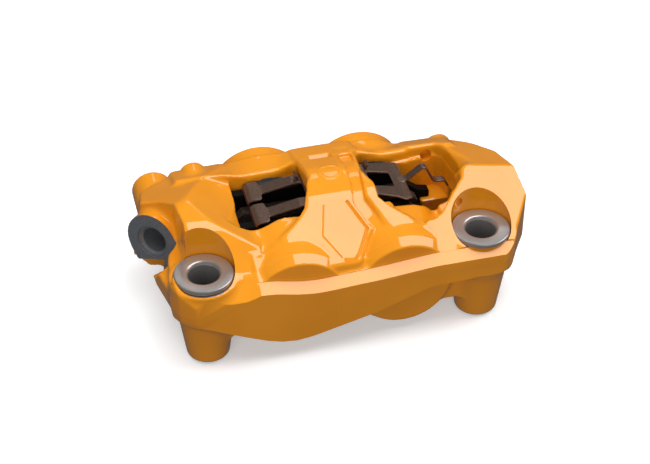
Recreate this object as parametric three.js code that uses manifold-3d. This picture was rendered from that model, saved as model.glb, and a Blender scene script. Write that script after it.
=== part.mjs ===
// Radial-mount four-piston brake caliper, in millimetres.
// +X runs along the caliper from the hose end, +Y from the outer face to the wheel side, +Z up.
// Z = 0 is the plane that bolts to the fork, and Y = 0 is the middle plane of the brake disc.

import * as THREE from 'three';
import { mergeVertices } from 'three/addons/utils/BufferGeometryUtils.js';
import Module from 'manifold-3d';

const wasm = await Module();
wasm.setup();

// ---- Driving dimensions --------------------------------------------------------------------

const GAP = 0.3;                        // clearance between touching faces
const REACH = 90;                       // long enough to cut right through the caliper

const BOLT_SPACING = 100;
const BOLT_Y = -28;
const BOLT_HOLE_R = 5.4;
const COLUMN_FOOT_R = 7.9;
const COLUMN_WAIST_R = 10;
const COLUMN_WAIST_Z = 18;
const COLUMN_HEAD_R = 11.4;
const COUNTERBORE_R = 10.8;

const BUSH_TOP_Z = 36;
const BUSH_FLANGE_R = 10.4;
const BUSH_FLANGE_THICKNESS = 1.6;
const BUSH_SPIGOT_R = 6.9;
const BUSH_SPIGOT_LENGTH = 10;

const FRONT_Y = -39.5;
const REAR_BOSS_END_Y = 34.5;
const FRONT_BOSS_END_Y = -36;
const BEVEL_START_Y = -32;
const BEVEL_START_R = 19;
const REAR_WALL_Y = 26;
const FRONT_EDGE_Z = 31.4;
const RIDGE_Y = -10;
const RIDGE_Z = 50;
const REAR_EDGE_Z = 42.6;

const BORE_SEGMENTS = 32;

const PISTON_PITCH = 38.8;
const PISTON_CENTRE_X = 1.1;
const PISTON_Z = 21.8;
const PISTON_R = 15;
const PISTON_FACE_Y = 11.8;
const PISTON_BACK_Y = 28.2;
const PISTON_CUP_R = 11.4;
const PISTON_CUP_DEPTH = 11.5;
const BORE_END_Y = 29;
const BOSS_R = 16.6;
const SHOULDER_R = 20.4;
const SHOULDER_Y = 28;

const PRESSURE_SEAL = { y: 21.6, width: 2.6, depth: 2.4 };
const DUST_SEAL = { y: 15.6, width: 1.9, depth: 1.9 };

const CAVITY_HALF_WIDTH = 13;
const CAVITY_HALF_LENGTH = 38.8;
const CAVITY_ROOF_Z = 43.6;
const WINDOW_SILL_Z = 38.4;
const BRIDGE_X = [-7, 15.2];

const DISC_R = 160;
const DISC_EDGE_Z = 34;
const DISC_SLOT_HALF_WIDTH = 5.5;
const DISC_TIP_CLEARANCE = 3;

const PLATE_INNER_Y = 7.5;
const PLATE_THICKNESS = 4;
const PLATE_HALF_LENGTH = 38.2;
const PLATE_BOTTOM_Z = 3.5;
const PLATE_TOP_Z = 38.6;
const PLATE_EAR_R = 4;
const PLATE_EAR_ROOM = 0.6;
const PLATE_TRAVEL = 2.6;
const SHOULDER_LEDGE_Z = 24.3;
const PLATE_SHOULDER = { end: 42.4, top: 32 };
const LINING_INNER_Y = 3;
const LINING_HALF_LENGTH = 36.4;
const LINING_BOTTOM_Z = 5;
const LINING_TOP_Z = 33.5;

const PIN_X = 44;
const PIN_Z = 40.7;
const PIN_R = 1.9;
const PIN_TIP_Y = -15.4;
const PIN_HOLE_START_Y = [-15.8, -24];
const PIN_HEAD_R = 3.6;
const PIN_HEAD_Y = [21.5, 27];
const PIN_BOSS_R = 5.6;
const PIN_BOSS_END_Y = 30;

const SPRING_THICKNESS = 0.7;
const SPRING_SADDLE_Z = 42.6;
const SPRING_TOE_Z = 40.2;
const SPRING_HALF_WIDTH = 10.7;

const HOSE_FACE = new THREE.Vector3(-63.6, -1.6, 31.4);
const HOSE_HEADING = 227.5;             // degrees from +X, seen from above
const HOSE_PITCH = 6;                   // degrees above level
const HOSE_SEAT_R = 9.5;
const HOSE_BORE_R = 4.7;
const HOSE_BORE_DEPTH = 13;

const BLEED_X = -54;
const BLEED_Z = 15;
const BLEED_SEAT_Y = 14;
const BLEED_FACE_Y = 26;
const BLEED_CAP_END_Y = 39.5;

const PLUG_X = -58.6;
const PLUG_Z = 31;
const PLUG_BOSS_R = 8.2;
const PLUG_FACE_Y = 30;
const PLUG_R = 5;

// ---- Solids and booleans -------------------------------------------------------------------

function solid(geometry) {
  const bare = geometry.index ? geometry.toNonIndexed() : geometry.clone();
  bare.deleteAttribute('normal');
  bare.deleteAttribute('uv');
  const merged = mergeVertices(bare, 1e-4);
  return new wasm.Manifold(new wasm.Mesh({
    numProp: 3,
    vertProperties: new Float32Array(merged.attributes.position.array),
    triVerts: new Uint32Array(merged.index.array),
  }));
}

function join(...pieces) {
  return pieces.reduce((whole, piece) => whole.add(piece));
}

function cut(whole, ...tools) {
  return tools.reduce((rest, tool) => rest.subtract(tool), whole);
}

function toShape(outline) {
  return outline instanceof THREE.Shape
    ? outline
    : new THREE.Shape(outline.map(([u, v]) => new THREE.Vector2(u, v)));
}

function extrude(outline, length, curveSegments = 24) {
  return new THREE.ExtrudeGeometry(toShape(outline), { depth: length, bevelEnabled: false, curveSegments });
}

// A prism along Z from an (x, y) outline.
function prismZ(outline, low, high) {
  return solid(extrude(outline, high - low).translate(0, 0, low));
}

// A prism along Y from an (x, z) outline.
function prismY(outline, low, high) {
  return solid(extrude(outline, high - low).rotateX(Math.PI / 2).translate(0, high, 0));
}

// A prism along X from a (y, z) outline.
function prismX(outline, low, high) {
  const turn = new THREE.Matrix4().makeBasis(
    new THREE.Vector3(0, 1, 0),
    new THREE.Vector3(0, 0, 1),
    new THREE.Vector3(1, 0, 0),
  );
  return solid(extrude(outline, high - low).applyMatrix4(turn).translate(low, 0, 0));
}

function box([x0, x1], [y0, y1], [z0, z1]) {
  const geometry = new THREE.BoxGeometry(x1 - x0, y1 - y0, z1 - z0);
  return solid(geometry.translate((x0 + x1) / 2, (y0 + y1) / 2, (z0 + z1) / 2));
}

// A solid of revolution from a closed (radius, height) profile, its axis along +Y.
function turned(profile, segments = 32) {
  const points = [...profile, profile[0]].map(([r, h]) => new THREE.Vector2(r, h));
  return new THREE.LatheGeometry(points, segments);
}

function turnedY(profile, x, z, segments) {
  return solid(turned(profile, segments).translate(x, 0, z));
}

function turnedZ(profile, x, y, segments) {
  return solid(turned(profile, segments).rotateX(Math.PI / 2).translate(x, y, 0));
}

function rod(r, low, high) {
  return [[0, low], [r, low], [r, high], [0, high]];
}

function cylinderY(r, low, high, x, z, segments) {
  return turnedY(rod(r, low, high), x, z, segments);
}

function cylinderZ(r, low, high, x, y, segments) {
  return turnedZ(rod(r, low, high), x, y, segments);
}

// A hexagonal prism along Y, given its width across the flats.
function hexagonY(acrossFlats, low, high, x, z) {
  return cylinderY(acrossFlats / Math.sqrt(3), low, high, x, z, 6);
}

// Things that face each other across the disc are given for the wheel side (side = 1), and these two
// turn them over for the outer side (side = -1).
function mirrored(profile, side) {
  return side > 0 ? profile : profile.map(([r, y]) => [r, -y]).reverse();
}

function spanY(side, low, high) {
  return side > 0 ? [low, high] : [-high, -low];
}

function hoseAxis() {
  const heading = THREE.MathUtils.degToRad(HOSE_HEADING);
  const pitch = THREE.MathUtils.degToRad(HOSE_PITCH);
  return new THREE.Vector3(
    Math.cos(heading) * Math.cos(pitch),
    Math.sin(heading) * Math.cos(pitch),
    Math.sin(pitch),
  );
}

// A turned shape about the hose port, with height 0 on the sealing face and positive outwards.
function turnedAtHose(profile, segments) {
  const turn = new THREE.Quaternion().setFromUnitVectors(new THREE.Vector3(0, 1, 0), hoseAxis());
  const geometry = turned(profile, segments).applyQuaternion(turn);
  return solid(geometry.translate(HOSE_FACE.x, HOSE_FACE.y, HOSE_FACE.z));
}

// ---- Caliper body --------------------------------------------------------------------------

const PISTON_X = [PISTON_CENTRE_X - PISTON_PITCH / 2, PISTON_CENTRE_X + PISTON_PITCH / 2];
const BOLT_X = [-BOLT_SPACING / 2, BOLT_SPACING / 2];

// Everything under the sloping roof of the casting.
function underRoof() {
  return prismX([
    [FRONT_Y, -1],
    [REAR_WALL_Y, -1],
    [REAR_WALL_Y, REAR_EDGE_Z],
    [0, RIDGE_Z],
    [RIDGE_Y, RIDGE_Z],
    [FRONT_Y, FRONT_EDGE_Z],
  ], -REACH, REACH);
}

function leftEnd() {
  const outline = new THREE.Shape();
  outline.moveTo(-34, FRONT_Y);
  outline.lineTo(-34, 25.6);
  outline.lineTo(-50, 25.6);
  outline.lineTo(-64.4, 15);
  outline.lineTo(-66, 8);
  outline.lineTo(-60, 3);
  outline.lineTo(-55.4, -5);
  outline.lineTo(-55, -13);
  outline.lineTo(-61.5, -19);
  outline.absarc(BOLT_X[0], BOLT_Y, BOLT_Y - FRONT_Y, Math.PI, 1.5 * Math.PI, false);
  const block = prismZ(outline, 21, RIDGE_Z + 1);
  const endSlope = prismY([[-75, 20], [-30, 20], [-30, 52], [-46, 49], [-75, 39]], -REACH, REACH);
  return block.intersect(endSlope);
}

function rightEnd() {
  const outline = new THREE.Shape();
  outline.moveTo(34, FRONT_Y);
  outline.lineTo(54, FRONT_Y);
  outline.quadraticCurveTo(58.6, -38.4, 61.2, -34.6);
  outline.lineTo(69.8, -20.6);
  outline.lineTo(67.4, 5);
  outline.lineTo(49, 25.6);
  outline.lineTo(34, 25.6);
  const block = prismZ(outline, 24, RIDGE_Z + 1);
  const endSlope = prismY([[30, 20], [66, 20], [75, 38], [75, 45], [50, 51], [30, 52]], -REACH, REACH);
  return block.intersect(endSlope);
}

function frontWall() {
  const outline = new THREE.Shape();
  outline.moveTo(-60, 22);
  outline.lineTo(-36.5, 10.3);
  outline.quadraticCurveTo(-20, 1.4, -3, 8.6);
  outline.lineTo(30, 20.4);
  outline.lineTo(43.6, 20.4);
  outline.lineTo(59, 26.4);
  outline.lineTo(60, 36);
  outline.lineTo(-60, 36);
  return prismY(outline, FRONT_Y, -32);
}

// The outer half: a boss for each bore, bevelled in line with the sloping roof, and the wall between.
function outerCylinders() {
  const profile = [
    [0, FRONT_BOSS_END_Y],
    [BOSS_R, FRONT_BOSS_END_Y],
    [BEVEL_START_R, BEVEL_START_Y],
    [SHOULDER_R, -CAVITY_HALF_WIDTH - 2],
    [SHOULDER_R, -CAVITY_HALF_WIDTH],
    [0, -CAVITY_HALF_WIDTH],
  ];
  const bosses = PISTON_X.map((x) => turnedY(profile, x, PISTON_Z, 32));
  return join(...bosses, box([-46, 46], [-33, -CAVITY_HALF_WIDTH], [9, 35]));
}

// The wheel-side half: a boss for each bore, a shoulder before it, and the wall between.
function wheelSideCylinders() {
  const profile = [
    [0, CAVITY_HALF_WIDTH],
    [SHOULDER_R, CAVITY_HALF_WIDTH],
    [SHOULDER_R, SHOULDER_Y - 3],
    [BOSS_R, SHOULDER_Y],
    [BOSS_R, REAR_BOSS_END_Y - 1.5],
    [BOSS_R - 1.5, REAR_BOSS_END_Y],
    [0, REAR_BOSS_END_Y],
  ];
  const bosses = PISTON_X.map((x) => turnedY(profile, x, PISTON_Z, 32));
  return join(...bosses, box([-46, 46], [CAVITY_HALF_WIDTH, 24], [9, 35]));
}

function rearWall() {
  const outline = [[-52, 12], [-46, 6], [46, 6], [52, 12], [52, 46], [-52, 46]];
  return prismY(outline, CAVITY_HALF_WIDTH, REAR_WALL_Y);
}

// The blocks at the ends of the pad cavity, which carry the pads' braking load.
function abutments() {
  const pieces = [];
  for (const side of [-1, 1]) {
    const [low, high] = side > 0 ? [CAVITY_HALF_LENGTH, 55] : [-55, -CAVITY_HALF_LENGTH];
    pieces.push(box([low, high], [-24, -DISC_SLOT_HALF_WIDTH], [9, 40]));
    pieces.push(box([low, high], [DISC_SLOT_HALF_WIDTH, 23], [0, 40]));
  }
  return join(...pieces);
}

function bridge() {
  const [left, right] = BRIDGE_X;
  const outline = [
    [-13, -34.5],
    [8, -34.5],
    [right, -22],
    [right, 25.6],
    [left, 25.6],
    [left, -4],
    [-15.2, -12],
    [-20, -21.5],
  ];
  return prismZ(outline, 24, RIDGE_Z + 1);
}

function columns() {
  const profile = [
    [0, 0],
    [COLUMN_FOOT_R - 0.5, 0],
    [COLUMN_FOOT_R, 1.2],
    [COLUMN_WAIST_R, COLUMN_WAIST_Z],
    [COLUMN_HEAD_R, COLUMN_WAIST_Z + 7],
    [COLUMN_HEAD_R, BUSH_TOP_Z - BUSH_FLANGE_THICKNESS - GAP],
    [0, BUSH_TOP_Z - BUSH_FLANGE_THICKNESS - GAP],
  ];
  return join(...BOLT_X.map((x) => turnedZ(profile, x, BOLT_Y, 32)));
}

function rearBosses() {
  const pieces = [-PIN_X, PIN_X].map((x) => cylinderY(PIN_BOSS_R, 16, PIN_BOSS_END_Y, x, PIN_Z - 1.4, 24));
  pieces.push(cylinderY(PLUG_BOSS_R, 4, PLUG_FACE_Y, PLUG_X, PLUG_Z, 28));
  pieces.push(cylinderY(6.2, 8, BLEED_FACE_Y, BLEED_X, BLEED_Z, 24));
  pieces.push(box([BLEED_X - 6, BLEED_X + 6], [8, 20], [BLEED_Z, 24]));
  return join(...pieces);
}

function hoseBoss() {
  const seat = [[0, -15], [HOSE_SEAT_R - 1, -15], [HOSE_SEAT_R, -3], [HOSE_SEAT_R, 0], [0, 0]];
  return turnedAtHose(seat, 32);
}

function windowTools() {
  const [bridgeLeft, bridgeRight] = BRIDGE_X;
  const left = [[-37.4, -11], [-31.4, -15.6], [-20, -14], [-11, -6], [bridgeLeft, -1], [bridgeLeft, 15],
    [-24.6, 14.4], [-35.4, 7]];
  const right = [[bridgeRight, 1], [20.6, -11], [30, -16.8], [37, -16.4], [43, -12.6], [49.6, -3], [49.6, 6],
    [47.2, 13], [36, 14], [29, 12], [bridgeRight, 15]];
  const pocket = [[37, -13], [43, -12.6], [49.6, -3], [49.6, 6], [47.2, 13], [37, 13]];
  return [
    prismZ(left, WINDOW_SILL_Z, 60),
    prismZ(right, WINDOW_SILL_Z, 60),
    prismZ(pocket, SHOULDER_LEDGE_Z, 60),
  ];
}

// The room for the pads, with a slot at the hose end for each pad's ear to slide in.
function padCavity() {
  const halfWidth = CAVITY_HALF_WIDTH;
  const main = box([-CAVITY_HALF_LENGTH, CAVITY_HALF_LENGTH], [-halfWidth, halfWidth], [-2, CAVITY_ROOF_Z]);
  const reach = PLATE_EAR_R + PLATE_EAR_ROOM;
  const earSlots = [-1, 1].map((side) => box(
    [-PIN_X - reach, 1 - CAVITY_HALF_LENGTH],
    spanY(side, PLATE_INNER_Y - PLATE_TRAVEL - PLATE_EAR_ROOM, halfWidth),
    [PIN_Z - reach, PIN_Z + reach],
  ));
  return [main, ...earSlots];
}

function discSlot() {
  const centreZ = DISC_EDGE_Z - DISC_R;
  const swept = new THREE.Shape();
  swept.absarc(0, centreZ, DISC_R + DISC_TIP_CLEARANCE, 0.3 * Math.PI, 0.7 * Math.PI, false);
  return prismY(swept, -DISC_SLOT_HALF_WIDTH, DISC_SLOT_HALF_WIDTH);
}

function boreTools() {
  const tools = [];
  for (const x of PISTON_X) {
    for (const side of [-1, 1]) {
      const at = (r, low, high) => cylinderY(r, ...spanY(side, low, high), x, PISTON_Z, BORE_SEGMENTS);
      tools.push(at(PISTON_R + GAP, CAVITY_HALF_WIDTH - 1, BORE_END_Y));
      for (const { y, width, depth } of [PRESSURE_SEAL, DUST_SEAL]) {
        tools.push(at(PISTON_R + GAP + depth + GAP, y - GAP, y + width + GAP));
      }
    }
  }
  return tools;
}

function boltTools() {
  const flangeSeatZ = BUSH_TOP_Z - BUSH_FLANGE_THICKNESS - GAP;
  return BOLT_X.flatMap((x) => [
    cylinderZ(BOLT_HOLE_R, -2, 60, x, BOLT_Y, 32),
    cylinderZ(BUSH_SPIGOT_R + GAP, flangeSeatZ - BUSH_SPIGOT_LENGTH, 60, x, BOLT_Y, 32),
    cylinderZ(COUNTERBORE_R, flangeSeatZ, 60, x, BOLT_Y, 32),
  ]);
}

// A blind hole for the pin at the hose end, and one that runs through into the bolt recess at the far end.
function pinTools() {
  return [-PIN_X, PIN_X].flatMap((x, i) => [
    cylinderY(PIN_R + GAP, PIN_HOLE_START_Y[i], REAR_WALL_Y + 8, x, PIN_Z, 24),
    cylinderY(PIN_HEAD_R + GAP, PIN_HEAD_Y[0] - GAP, REAR_WALL_Y + 8, x, PIN_Z, 24),
  ]);
}

function fluidTools() {
  return [
    turnedAtHose(rod(HOSE_BORE_R, -HOSE_BORE_DEPTH, 1), 32),
    cylinderY(3.6, BLEED_SEAT_Y, BLEED_FACE_Y + 1, BLEED_X, BLEED_Z, 28),
    cylinderY(PLUG_R + GAP, PLUG_FACE_Y - 6, PLUG_FACE_Y + 1, PLUG_X, PLUG_Z, 32),
  ];
}

function caliperBody() {
  const casting = join(leftEnd(), rightEnd(), frontWall(), rearWall(), bridge(), abutments())
    .intersect(underRoof());
  const whole = join(casting, outerCylinders(), wheelSideCylinders(), columns(), rearBosses(), hoseBoss());
  return cut(whole, ...windowTools(), ...padCavity(), discSlot(), ...boreTools(), ...boltTools(),
    ...pinTools(), ...fluidTools());
}

// ---- Hydraulics ----------------------------------------------------------------------------

// A cup that is open towards the pad, with a chamfered rim and base.
function piston(x, side) {
  const profile = [
    [0, PISTON_FACE_Y + PISTON_CUP_DEPTH],
    [PISTON_CUP_R - 1, PISTON_FACE_Y + PISTON_CUP_DEPTH],
    [PISTON_CUP_R, PISTON_FACE_Y + PISTON_CUP_DEPTH - 1],
    [PISTON_CUP_R, PISTON_FACE_Y],
    [PISTON_R - 0.6, PISTON_FACE_Y],
    [PISTON_R, PISTON_FACE_Y + 0.6],
    [PISTON_R, PISTON_BACK_Y - 0.8],
    [PISTON_R - 0.8, PISTON_BACK_Y],
    [0, PISTON_BACK_Y],
  ];
  return turnedY(mirrored(profile, side), x, PISTON_Z, BORE_SEGMENTS);
}

function seal({ y, width, depth }, x, side) {
  const inner = PISTON_R + GAP;
  const profile = [[inner, y], [inner + depth, y], [inner + depth, y + width], [inner, y + width]];
  return turnedY(mirrored(profile, side), x, PISTON_Z, BORE_SEGMENTS);
}

// Conical seat, thread, hexagon and hose nipple along one axis, open down its middle.
function bleedScrew() {
  const nippleEnd = BLEED_CAP_END_Y - 1.8;
  const profile = [
    [0.9, BLEED_SEAT_Y + GAP],
    [1.6, BLEED_SEAT_Y + GAP],
    [3.3, BLEED_SEAT_Y + 2.4],
    [3.3, BLEED_FACE_Y + GAP],
    [3, BLEED_FACE_Y + 4],
    [3, BLEED_FACE_Y + 6.5],
    [2.2, BLEED_FACE_Y + 8],
    [2.2, nippleEnd - 2.6],
    [2.9, nippleEnd - 2.2],
    [2, nippleEnd],
    [0.9, nippleEnd],
  ];
  const shank = turnedY(profile, BLEED_X, BLEED_Z, 28);
  const hexagon = hexagonY(8, BLEED_FACE_Y + GAP, BLEED_FACE_Y + 5, BLEED_X, BLEED_Z);
  const bore = cylinderY(0.9, BLEED_SEAT_Y, nippleEnd + 1, BLEED_X, BLEED_Z, 16);
  return cut(join(shank, hexagon), bore);
}

function bleedCap() {
  const mouth = BLEED_FACE_Y + 5 + GAP;
  const profile = [
    [3.4, mouth],
    [4.6, mouth],
    [4.6, mouth + 2],
    [3.9, mouth + 2.8],
    [3.9, BLEED_CAP_END_Y - 1],
    [3, BLEED_CAP_END_Y],
    [0, BLEED_CAP_END_Y],
    [0, BLEED_CAP_END_Y - 1.4],
    [3.3, BLEED_CAP_END_Y - 1.4],
    [3.3, mouth + 3],
  ];
  return turnedY(profile, BLEED_X, BLEED_Z, 28);
}

function galleryPlug() {
  const body = cylinderY(PLUG_R, PLUG_FACE_Y - 6 + GAP, PLUG_FACE_Y - 0.5, PLUG_X, PLUG_Z, 28);
  return cut(body, hexagonY(5, PLUG_FACE_Y - 3.5, PLUG_FACE_Y + 1, PLUG_X, PLUG_Z));
}

// ---- Pads, pins, spring and bushes ---------------------------------------------------------

// The plate that carries a friction block. One ear hangs on the pad pin at the hose end, and the
// shoulder at the far end rests on a ledge.
function padPlate(side) {
  const [low, high] = spanY(side, PLATE_INNER_Y, PLATE_INNER_Y + PLATE_THICKNESS);
  const outline = new THREE.Shape();
  outline.moveTo(-PLATE_HALF_LENGTH, PLATE_BOTTOM_Z + 4);
  outline.lineTo(-PLATE_HALF_LENGTH + 4, PLATE_BOTTOM_Z);
  outline.lineTo(PLATE_HALF_LENGTH - 4, PLATE_BOTTOM_Z);
  outline.lineTo(PLATE_HALF_LENGTH, PLATE_BOTTOM_Z + 4);
  outline.lineTo(PLATE_HALF_LENGTH, SHOULDER_LEDGE_Z + GAP);
  outline.lineTo(PLATE_SHOULDER.end, SHOULDER_LEDGE_Z + GAP);
  outline.lineTo(PLATE_SHOULDER.end, PLATE_SHOULDER.top);
  outline.lineTo(PLATE_HALF_LENGTH, PLATE_SHOULDER.top + 1.4);
  outline.lineTo(PLATE_HALF_LENGTH - 4, PLATE_TOP_Z);
  outline.lineTo(-PLATE_HALF_LENGTH + 3, PLATE_TOP_Z);
  outline.lineTo(-PIN_X + 3, PIN_Z + PLATE_EAR_R);
  outline.lineTo(-PIN_X, PIN_Z + PLATE_EAR_R);
  outline.absarc(-PIN_X, PIN_Z, PLATE_EAR_R, Math.PI / 2, 1.5 * Math.PI, false);
  outline.lineTo(-PLATE_HALF_LENGTH, PIN_Z - PLATE_EAR_R);
  return prismY(outline, low, high).subtract(cylinderY(PIN_R + GAP, -REACH, REACH, -PIN_X, PIN_Z, 24));
}

// A friction block with bevelled ends and one wear groove down its face.
function padLining(side) {
  const [low, high] = spanY(side, LINING_INNER_Y, PLATE_INNER_Y - GAP);
  const half = LINING_HALF_LENGTH;
  const outline = [
    [-half, LINING_BOTTOM_Z + 3],
    [-half + 3, LINING_BOTTOM_Z],
    [half - 3, LINING_BOTTOM_Z],
    [half, LINING_BOTTOM_Z + 3],
    [half, LINING_TOP_Z - 6],
    [half - 7, LINING_TOP_Z],
    [-half + 7, LINING_TOP_Z],
    [-half, LINING_TOP_Z - 6],
  ];
  const groove = box([-1.2, 1.2], spanY(side, LINING_INNER_Y - 1, LINING_INNER_Y + 2.6), [-1, REACH]);
  return prismY(outline, low, high).subtract(groove);
}

function padPin() {
  const shank = cylinderY(PIN_R, PIN_TIP_Y, PIN_HEAD_Y[0] + 1, -PIN_X, PIN_Z, 24);
  const head = cylinderY(PIN_HEAD_R, PIN_HEAD_Y[0], PIN_HEAD_Y[1], -PIN_X, PIN_Z, 28);
  const socket = hexagonY(4, PIN_HEAD_Y[1] - 3, PIN_HEAD_Y[1] + 1, -PIN_X, PIN_Z);
  return cut(join(shank, head), socket);
}

// The outline of a bent strip from the points of its middle line.
function strip(points, thickness) {
  const line = points.map(([x, z]) => new THREE.Vector2(x, z));
  const offset = line.map((point, i) => {
    const before = line[Math.max(i - 1, 0)];
    const after = line[Math.min(i + 1, line.length - 1)];
    const along = after.clone().sub(before).normalize();
    return new THREE.Vector2(-along.y, along.x).multiplyScalar(thickness / 2);
  });
  const lower = line.map((point, i) => point.clone().sub(offset[i]));
  const upper = line.map((point, i) => point.clone().add(offset[i]));
  return new THREE.Shape([...lower, ...upper.reverse()]);
}

// One sheet-steel spring: two T-ended arms to the left of the bridge, a frame to the right of it,
// a tail that dips below the far pin hole, and two tabs that hold the bridge.
function padSpring() {
  const [bridgeLeft, bridgeRight] = BRIDGE_X;
  const sheet = prismY(strip([
    [-27.2, SPRING_TOE_Z - 0.8],
    [-25.8, SPRING_TOE_Z],
    [-22, SPRING_TOE_Z + 0.2],
    [bridgeLeft - 3, SPRING_SADDLE_Z],
    [bridgeRight + 2, SPRING_SADDLE_Z],
    [27, SPRING_TOE_Z + 0.3],
    [30, SPRING_TOE_Z],
  ], SPRING_THICKNESS), -SPRING_HALF_WIDTH - 2, SPRING_HALF_WIDTH + 2);
  const plan = [box([bridgeLeft - 2, bridgeRight], [-9, 9], [30, 50])];
  for (const side of [-1, 1]) {
    plan.push(box([-24, bridgeLeft], spanY(side, 4.2, 9.2), [30, 50]));
    plan.push(box([-28, -22.6], spanY(side, 1, 12), [30, 50]));
  }
  const frame = [
    [bridgeRight - 1, -9],
    [27.4, -12],
    [30, -10.4],
    [30, 10.4],
    [27.4, 10.8],
    [bridgeRight - 1, 9],
  ];
  const opening = box([bridgeRight + 0.6, 25], [-4.2, 4.2], [30, 50]);
  const slot = box([bridgeLeft - 3, bridgeLeft + 0.5], [-4.2, 4.2], [30, 50]);
  const blank = cut(join(...plan, prismZ(frame, 30, 50)), opening, slot);
  const tail = prismY(strip([
    [29, SPRING_TOE_Z],
    [31, SPRING_TOE_Z + 0.8],
    [36, 44.8],
    [37.6, 44.8],
    [40.6, 38.9],
    [42.2, 37.9],
    [44.4, 37.9],
    [45.6, 37],
    [46.4, 35.2],
  ], SPRING_THICKNESS), -1.5, 1.5);
  const tabs = [
    box([bridgeLeft - GAP - 0.7, bridgeLeft - GAP], [5, 8.6], [SPRING_SADDLE_Z - 0.3, 46]),
    box([bridgeRight + GAP, bridgeRight + GAP + 0.7], [5, 8.6], [SPRING_SADDLE_Z - 0.3, 46]),
  ];
  return join(sheet.intersect(blank), tail, ...tabs);
}

function mountBush(x) {
  const flangeZ = BUSH_TOP_Z - BUSH_FLANGE_THICKNESS;
  const profile = [
    [BOLT_HOLE_R, flangeZ - BUSH_SPIGOT_LENGTH],
    [BUSH_SPIGOT_R, flangeZ - BUSH_SPIGOT_LENGTH],
    [BUSH_SPIGOT_R, flangeZ],
    [BUSH_FLANGE_R, flangeZ],
    [BUSH_FLANGE_R, BUSH_TOP_Z - 0.3],
    [BUSH_FLANGE_R - 0.3, BUSH_TOP_Z],
    [BOLT_HOLE_R + 0.4, BUSH_TOP_Z],
    [BOLT_HOLE_R, BUSH_TOP_Z - 0.4],
  ];
  return turnedZ(profile, x, BOLT_Y, 32);
}

// ---- Scene graph ---------------------------------------------------------------------------

const caliper = new THREE.Group();

function addNode(name, shape, { color, roughness, metalness }) {
  const mesh = shape.getMesh();
  const geometry = new THREE.BufferGeometry();
  geometry.setAttribute('position', new THREE.BufferAttribute(new Float32Array(mesh.vertProperties), 3));
  geometry.setIndex(new THREE.BufferAttribute(new Uint32Array(mesh.triVerts), 1));
  geometry.computeVertexNormals();
  const node = new THREE.Mesh(geometry, new THREE.MeshStandardMaterial({ color, roughness, metalness }));
  node.name = name;
  caliper.add(node);
}

const PAINT = { color: 0xf39a22, roughness: 0.22, metalness: 0 };
const BUSH_STEEL = { color: 0x8c8787, roughness: 0.35, metalness: 1 };
const ANODISED = { color: 0x4a4a4d, roughness: 0.35, metalness: 0.9 };
const SEAL_RUBBER = { color: 0x17171a, roughness: 0.7, metalness: 0 };
const BACKING_STEEL = { color: 0x1c1a19, roughness: 0.55, metalness: 0.3 };
const FRICTION = { color: 0x3a3532, roughness: 0.95, metalness: 0 };
const SPRING_STEEL = { color: 0x735c50, roughness: 0.38, metalness: 0.9 };
const PIN_STEEL = { color: 0x6b625c, roughness: 0.35, metalness: 1 };
const PLATED_STEEL = { color: 0xa9a9a4, roughness: 0.35, metalness: 1 };
const CAP_RUBBER = { color: 0x1b1b1c, roughness: 0.8, metalness: 0 };

addNode('caliper_body', caliperBody(), PAINT);
addNode('pad_spring', padSpring(), SPRING_STEEL);
addNode('bleed_screw', bleedScrew(), PLATED_STEEL);
addNode('bleed_cap', bleedCap(), CAP_RUBBER);
addNode('gallery_plug', galleryPlug(), PLATED_STEEL);
addNode('pad_pin', padPin(), PIN_STEEL);

for (const [i, hand] of ['left', 'right'].entries()) {
  addNode(`mount_bush_${hand}`, mountBush(BOLT_X[i]), BUSH_STEEL);
}

for (const [face, side] of [['front', -1], ['rear', 1]]) {
  addNode(`pad_plate_${face}`, padPlate(side), BACKING_STEEL);
  addNode(`pad_lining_${face}`, padLining(side), FRICTION);
  for (const [i, hand] of ['left', 'right'].entries()) {
    addNode(`piston_${face}_${hand}`, piston(PISTON_X[i], side), ANODISED);
    addNode(`pressure_seal_${face}_${hand}`, seal(PRESSURE_SEAL, PISTON_X[i], side), SEAL_RUBBER);
    addNode(`dust_seal_${face}_${hand}`, seal(DUST_SEAL, PISTON_X[i], side), SEAL_RUBBER);
  }
}

export default caliper;
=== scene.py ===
"""Looks for the radial-mount brake caliper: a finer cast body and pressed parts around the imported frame.

Lengths below are in millimetres in the part's own frame and become metres when a mesh is made.
+X runs along the caliper from the hose end, +Y from the outer face to the wheel side, +Z up.
"""

import math

import bmesh
import bpy
import numpy as np
import openvdb
from mathutils import Matrix, Vector


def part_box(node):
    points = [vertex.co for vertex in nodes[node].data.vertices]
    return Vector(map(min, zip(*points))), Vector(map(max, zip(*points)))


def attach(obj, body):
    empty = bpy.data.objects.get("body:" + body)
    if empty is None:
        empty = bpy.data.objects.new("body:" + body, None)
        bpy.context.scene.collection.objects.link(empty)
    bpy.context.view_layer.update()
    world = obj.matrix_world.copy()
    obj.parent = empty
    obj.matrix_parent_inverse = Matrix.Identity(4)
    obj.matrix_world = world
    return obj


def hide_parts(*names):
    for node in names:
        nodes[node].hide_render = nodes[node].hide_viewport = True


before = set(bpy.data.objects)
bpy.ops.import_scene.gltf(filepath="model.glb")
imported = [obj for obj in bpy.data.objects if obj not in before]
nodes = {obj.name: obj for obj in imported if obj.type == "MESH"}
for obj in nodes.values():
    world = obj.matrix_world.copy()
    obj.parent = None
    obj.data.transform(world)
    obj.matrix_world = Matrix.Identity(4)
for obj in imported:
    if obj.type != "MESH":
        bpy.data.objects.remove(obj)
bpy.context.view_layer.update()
MM = 0.001

# ---- Camera --------------------------------------------------------------------------------

CAMERA_TARGET = Vector((-7.08, -28.0, 45.263)) * MM
CAMERA_AZIMUTH = math.radians(-14.417)
CAMERA_ELEVATION = math.radians(39.361)
CAMERA_DISTANCE = 534.02 * MM
CAMERA_LENS = 86.0

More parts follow.
